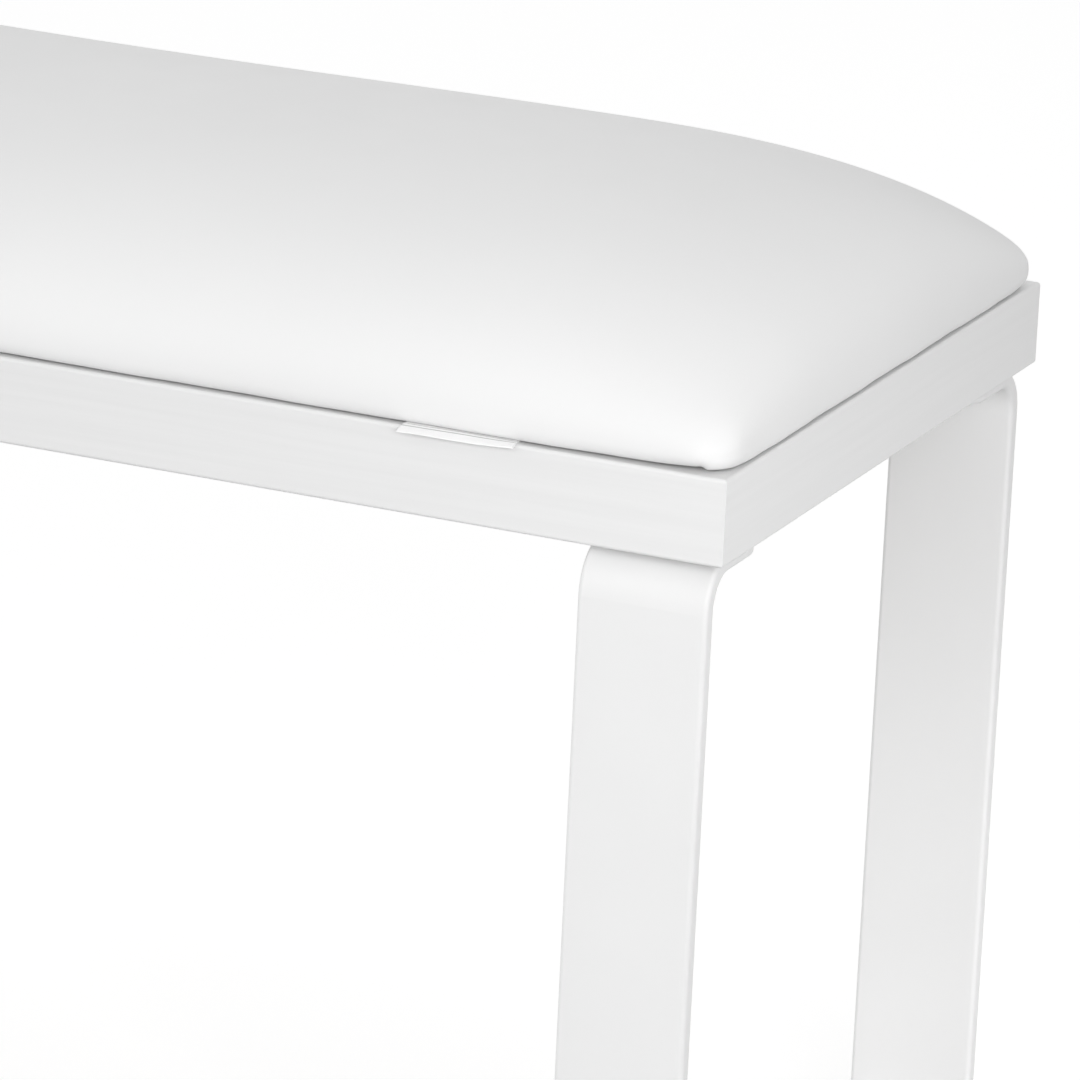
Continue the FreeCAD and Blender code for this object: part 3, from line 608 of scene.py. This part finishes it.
vinyl, tree, shader = new_finish("white_vinyl", {"Specular IOR Level": 0.26})
leather_cells = grain(tree, 850, kind="ShaderNodeTexVoronoi")
paint(tree, shader, ramp(tree, grain(tree, 7), 0.812, 0.832),
      ramp(tree, grain(tree, 45), 0.56, 0.66))
pores = relief(tree, shader, ramp(tree, leather_cells, 0.0, 1.0, 0.1, 0.8), 0.00004, 0.22)
relief(tree, shader, grain(tree, 130, 3.0), 0.00012, 0.18, under=pores)
seat_cover.data.materials.append(vinyl)
skin = seat_cover.modifiers.new("thickness", "SOLIDIFY")
skin.thickness = cover_thickness
skin.offset = -1.0
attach(seat_cover, "bench")
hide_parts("seat_cover")

# --- Label tag ------------------------------------------------------------------------------
# A plain woven tape is folded double and caught under the hem, with its fold to the front: it
# stands out past the apron and droops a little. It carries only two thin woven lines.
tag_low, tag_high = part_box("label_tag")
tag_left, tag_width = tag_low.x - 0.0034, 0.0513
tag_root = tag_high.y - 0.0015
tag_height = apron_top + 0.0005
tag_reach, tag_flat_length = 0.0205, 0.0150
left_reach, reach_lost, edge_waver, edge_waves = 1.02, 0.045, 0.01, 9
tag_droop, left_droop, droop_lost, droop_power = 0.0017, 1.22, 0.35, 1.3
wave_height, wave_count, wave_start = 0.00038, 1.15, 0.08
tag_thickness, tag_gap, fold_radius, right_parting = 0.00022, 0.00042, 0.0011, 1.6
side_swing, swing_centre = 0.0009, 0.75
tape_columns, tape_rows, tape_closeness = 61, 97, 1.6


def folded_tape(across, along):
    """The tape's surface for across, 0 to 1 over its width, and along, -1 to 1 from the lower
    layer's end round the fold to the upper layer's. It lies flat to the arris of the apron and
    then falls as a power of the distance, more at the left, in a shallow sine wave. The layers
    meet at the fold on a quarter ellipse, and part further at the right-hand edge."""
    waver = edge_waver * np.sin(edge_waves * across)
    reach = tag_reach * (left_reach - reach_lost * across + waver)
    out = reach * (1 - np.abs(along))
    free = np.clip((out - tag_flat_length) / (tag_reach - tag_flat_length), 0, 1.2)
    droop = tag_droop * (left_droop - droop_lost * across) * free ** droop_power
    wave = wave_height * np.sin(2 * math.pi * (across * wave_count + wave_start)) * free
    near_fold = np.clip((reach - out) / fold_radius, 0, 1)
    layer = np.sign(along) * tag_gap / 2 * np.sqrt(1 - (1 - near_fold) ** 2)
    parted = layer * (1 + right_parting * free * across ** 4)
    x = tag_left + tag_width * across + side_swing * free * (across - swing_centre)
    y = tag_root - out
    z = tag_height + parted - droop + wave
    return np.stack([x, y, z], -1)


tape_step = np.linspace(-1, 1, tape_rows)
tag_across, tag_along = np.meshgrid(np.linspace(0, 1, tape_columns),
                                    np.sign(tape_step) * np.abs(tape_step) ** tape_closeness)
tag_mesh = skin_mesh("label_tape", folded_tape(tag_across, tag_along), [])
tag_uv = tag_mesh.uv_layers.new(name="tape")
corner_points = np.empty(len(tag_mesh.loops), np.int32)
tag_mesh.loops.foreach_get("vertex_index", corner_points)
tape_place = np.stack([tag_across.ravel() * tag_width, tag_along.ravel() * tag_reach], -1)
tag_uv.data.foreach_set("uv", tape_place[corner_points].astype(np.float32).ravel())
label_tag = bpy.data.objects.new("label_tape", tag_mesh)
bpy.context.scene.collection.objects.link(label_tag)

tape, tree, shader = new_finish("white_woven_tape",
                                {"Specular IOR Level": 0.25, "Sheen Weight": 0.2})
thread_pitch = 0.00042
line_places, line_half_width_mm, line_grey = (0.0042, 0.0062), (0.22, 0.38), 0.55
tape_uv = add_node(tree, "ShaderNodeTexCoord", {}).outputs["UV"]
# A wave texture of scale s repeats every 2 pi / (20 s) metres.
threads = {"Vector": tape_uv, "Scale": 2 * math.pi / 20 / thread_pitch}
warp, weft = (add_node(tree, "ShaderNodeTexWave", threads, bands_direction=way,
                       wave_profile="SIN").outputs["Fac"] for way in ("X", "Y"))
weave = add_node(tree, "ShaderNodeMath", {0: warp, 1: weft}, operation="MULTIPLY").outputs[0]
tape_along = add_node(tree, "ShaderNodeSeparateXYZ", {0: tape_uv}).outputs["Y"]
line_tone = None
for line_place in line_places:
    away = add_node(tree, "ShaderNodeMath", {0: tape_along, 1: line_place}, operation="SUBTRACT")
    away = add_node(tree, "ShaderNodeMath", {0: away.outputs[0]}, operation="ABSOLUTE")
    away_mm = add_node(tree, "ShaderNodeMath", {0: away.outputs[0], 1: 1000.0},
                       operation="MULTIPLY").outputs[0]
    line = ramp(tree, away_mm, line_grey, 1.0, *line_half_width_mm)
    line_tone = line if line_tone is None else add_node(
        tree, "ShaderNodeMix", {"Factor": 1.0, 6: line_tone, 7: line},
        data_type="RGBA", blend_type="MULTIPLY").outputs[2]
woven = add_node(tree, "ShaderNodeMix",
                 {"Factor": 1.0, 6: ramp(tree, weave, 0.90, 0.97), 7: line_tone},
                 data_type="RGBA", blend_type="MULTIPLY")
paint(tree, shader, woven.outputs[2], ramp(tree, weave, 0.60, 0.75))
relief(tree, shader, weave, 0.00004, 0.5)
label_tag.data.materials.append(tape)
tape_body = label_tag.modifiers.new("cloth", "SOLIDIFY")
tape_body.thickness = tag_thickness
tape_body.offset = 0.0
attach(label_tag, "bench")
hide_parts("label_tag")

# --- Dust cover -----------------------------------------------------------------------------
# A thin black non-woven sheet closes the underside. It is stapled flat round its edge and over
# the battens, and between them it hangs down a little with shallow puckers at the staples.
dust_low, dust_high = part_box("dust_cover")
dust_thickness = 0.00045
dust_sag = 0.00224
dust_columns, dust_rows = 285, 125
pucker_depth, pucker_pitch, pucker_inset, pucker_fade = 0.00035, 0.029, 0.016, 0.010
batten_low, batten_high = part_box("right_cross_batten")


def hanging_sheet(x, y):
    """How far the sheet hangs, below zero: bays between the edge and the battens each sag on
    sine squares, and ripples run in from the staples and fade on a bell curve."""
    stops = np.array([-dust_high.x, -batten_high.x, -batten_low.x,
                      batten_low.x, batten_high.x, dust_high.x])
    bay = np.interp(x, stops, [0, 1, 1, 2, 2, 3])
    across = np.sin(math.pi * (y - dust_low.y) / (dust_high.y - dust_low.y)) ** 2
    sag = dust_sag * np.sin(math.pi * bay) ** 2 * across
    from_side = np.minimum(dust_high.y - np.abs(y), dust_high.x - np.abs(x))
    ripple = pucker_depth * np.cos(2 * math.pi * (x + 0.2 * y) / pucker_pitch)
    ripple = ripple * np.exp(-((from_side - pucker_inset) / pucker_fade) ** 2)
    return -sag - np.abs(ripple) * (np.sin(math.pi * bay) ** 2)


dust_x, dust_y = np.meshgrid(np.linspace(dust_low.x, dust_high.x, dust_columns),
                             np.linspace(dust_low.y, dust_high.y, dust_rows))
dust_z = (dust_low.z + dust_high.z) / 2 + hanging_sheet(dust_x, dust_y)
dust_sheet = bpy.data.objects.new("dust_cover_cloth", skin_mesh(
    "dust_cover_cloth", np.stack([dust_x, dust_y, dust_z], -1), []))
bpy.context.scene.collection.objects.link(dust_sheet)
nonwoven, tree, shader = new_finish("black_nonwoven",
                                    {"Specular IOR Level": 0.2, "Sheen Weight": 0.15})
felted = grain(tree, 420, 8.0, (1, 1.8, 1))
bonded = grain(tree, 420, kind="ShaderNodeTexVoronoi")
paint(tree, shader, ramp(tree, felted, 0.012, 0.045), ramp(tree, bonded, 0.62, 0.85))
relief(tree, shader, ramp(tree, bonded, 0.0, 1.0, 0.15, 0.5), 0.0001, 0.6,
       under=relief(tree, shader, felted, 0.0001, 0.6))
dust_sheet.data.materials.append(nonwoven)
sheet_body = dust_sheet.modifiers.new("cloth", "SOLIDIFY")
sheet_body.thickness = dust_thickness
sheet_body.offset = 0.0
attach(dust_sheet, "bench")
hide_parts("dust_cover")

# --- Staples --------------------------------------------------------------------------------
# Galvanised wire staples, driven from below, hold the hem and the dust cover to the board.
wire, tree, shader = new_finish("staple_wire", {"Metallic": 1.0})
paint(tree, shader, ramp(tree, grain(tree, 700, 3.0), 0.42, 0.62),
      ramp(tree, grain(tree, 400), 0.30, 0.45))
relief(tree, shader, grain(tree, 2500), 0.00001, 0.5)
dress(["hem_staples", "dust_cover_staples"], wire)
